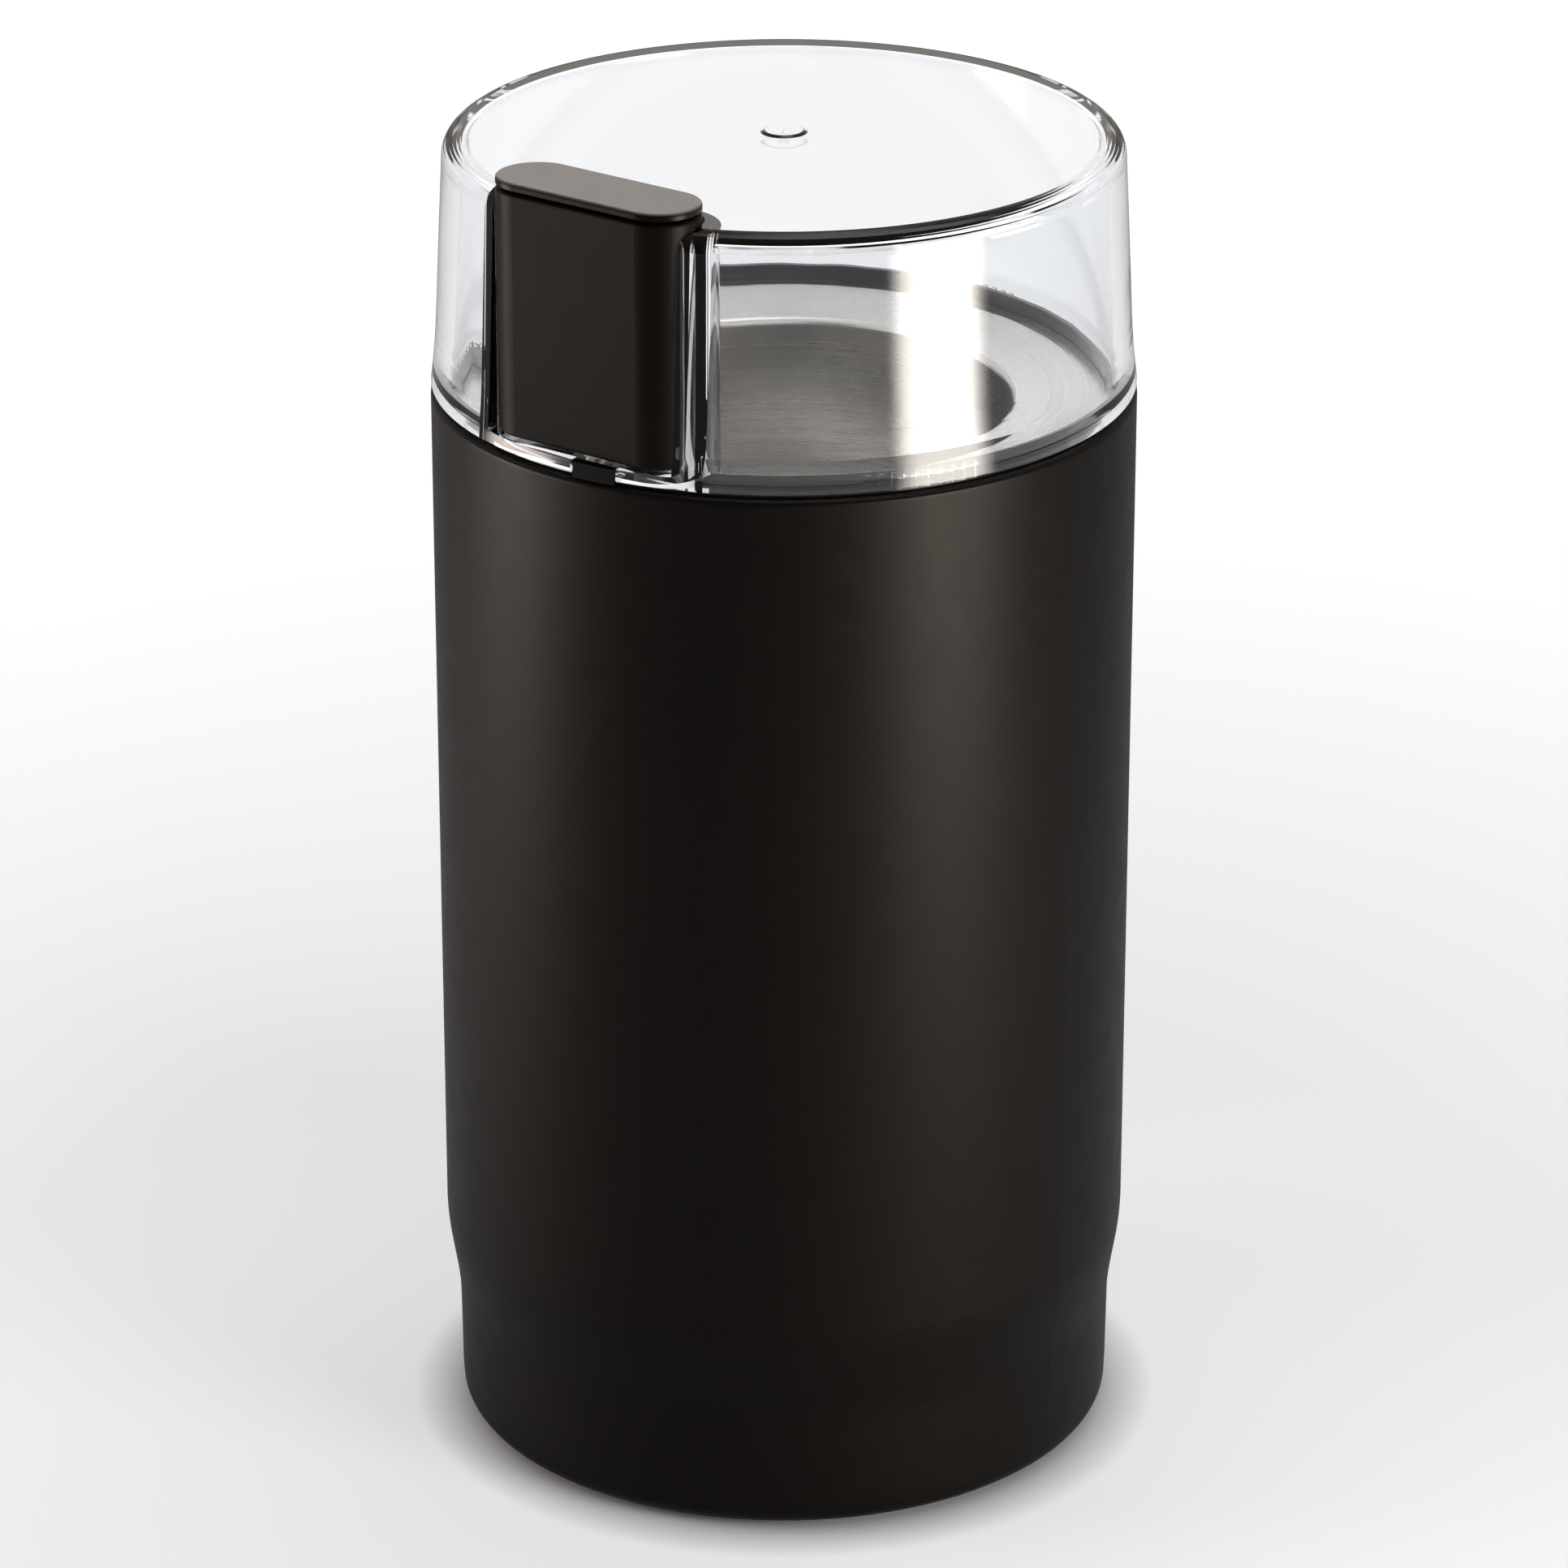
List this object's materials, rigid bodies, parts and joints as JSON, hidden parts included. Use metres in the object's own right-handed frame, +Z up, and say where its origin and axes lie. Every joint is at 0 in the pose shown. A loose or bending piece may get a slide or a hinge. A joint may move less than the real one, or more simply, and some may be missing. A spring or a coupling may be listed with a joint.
{
  "type": "electric spice grinder",
  "caption": "Upright round electric spice grinder: matt black motor base with a steel bowl and blade, clear lift-off lid and a sprung press bar in the lid that starts it.",
  "frame": {"origin": "on the table under the spindle, at the middle of the feet", "axes": "+Z up along the spindle, -Y towards the press bar at the front, +Y towards the cord inlet at the rear, +X to the right seen from the front"},
  "size_m": [0.09, 0.09, 0.1783],
  "materials": {
    "sleeve_black": "fine matt",
    "deck_black": "gloss",
    "cover_black": "matt",
    "rubber_black": "matt",
    "bowl_steel": "spun",
    "blade_steel": "ground",
    "nut_steel": "polished",
    "chassis_grey": "matt",
    "fastener_steel": "zinc plated",
    "bracket_alloy": "die cast",
    "bushing_bronze": "sintered",
    "lamination_steel": "laminated",
    "coil_copper": "enamelled",
    "commutator_copper": "turned",
    "holder_brass": "pressed",
    "brush_carbon": "matt",
    "spring_steel": "drawn",
    "switch_black": "satin",
    "block_white": "satin",
    "lead_red": "satin",
    "fan_black": "satin",
    "nylon_white": "satin",
    "button_red": "satin",
    "lid_clear": "clear polished",
    "bar_black": "gloss",
    "cap_black": "satin"
  },
  "bodies": {
    "base": {"body_shell": "sleeve_black", "collar_ring": "deck_black", "bowl_gasket": "rubber_black", "grinding_bowl": "bowl_steel", "shaft_seal": "rubber_black", "chassis": "chassis_grey", "motor_dampers": "rubber_black", "damper_screws": "fastener_steel", "top_bracket": "bracket_alloy", "top_bushing": "bushing_bronze", "stator_core": "lamination_steel", "field_coils": "coil_copper", "bottom_bracket": "bracket_alloy", "bottom_bushing": "bushing_bronze", "brush_holders": "holder_brass", "carbon_brushes": "brush_carbon", "brush_springs": "spring_steel", "motor_screws": "fastener_steel", "switch_body": "switch_black", "switch_pins": "fastener_steel", "terminal_block": "block_white", "lead_wires": "lead_red", "cord_gland": "rubber_black", "base_cover": "cover_black", "cover_screws": "fastener_steel", "rubber_feet": "rubber_black", "post_screws": "fastener_steel", "plunger_spring": "spring_steel"},
    "spindle": {"motor_shaft": "fastener_steel", "armature_core": "lamination_steel", "armature_winding": "coil_copper", "commutator": "commutator_copper", "cooling_fan": "fan_black", "blade_washer": "nylon_white", "blade": "blade_steel", "blade_nut": "nut_steel"},
    "lid": {"lid_shell": "lid_clear", "bar_spring": "spring_steel"},
    "press": {"press_bar": "bar_black", "bar_cap": "cap_black", "press_stem": "nylon_white", "stem_clip": "fastener_steel"},
    "plunger": {"switch_plunger": "nylon_white", "switch_button": "button_red"}
  },
  "joints": [
    {"name": "blade_spin", "type": "hinge", "parent": "base", "child": "spindle", "pos_m": [0, 0, 0.1], "axis": [0, 0, 1], "continuous": true},
    {"name": "lid_lift", "type": "slide", "parent": "base", "child": "lid", "axis": [0, 0, 1], "range_m": [0, 0.08]},
    {"name": "bar_press", "type": "slide", "parent": "lid", "child": "press", "axis": [0, 0, -1], "range_m": [0, 0.0014], "stiffness_N_per_m": 500, "springref_m": -0.004, "deforming": ["bar_spring"]},
    {"name": "plunger_press", "type": "slide", "parent": "base", "child": "plunger", "axis": [0, 0, -1], "range_m": [0, 0.0014], "stiffness_N_per_m": 300, "springref_m": -0.003, "deforming": ["plunger_spring"]}
  ],
  "couplings": [
    {"joint": "plunger_press", "follows": "bar_press", "ratio": 1}
  ]
}
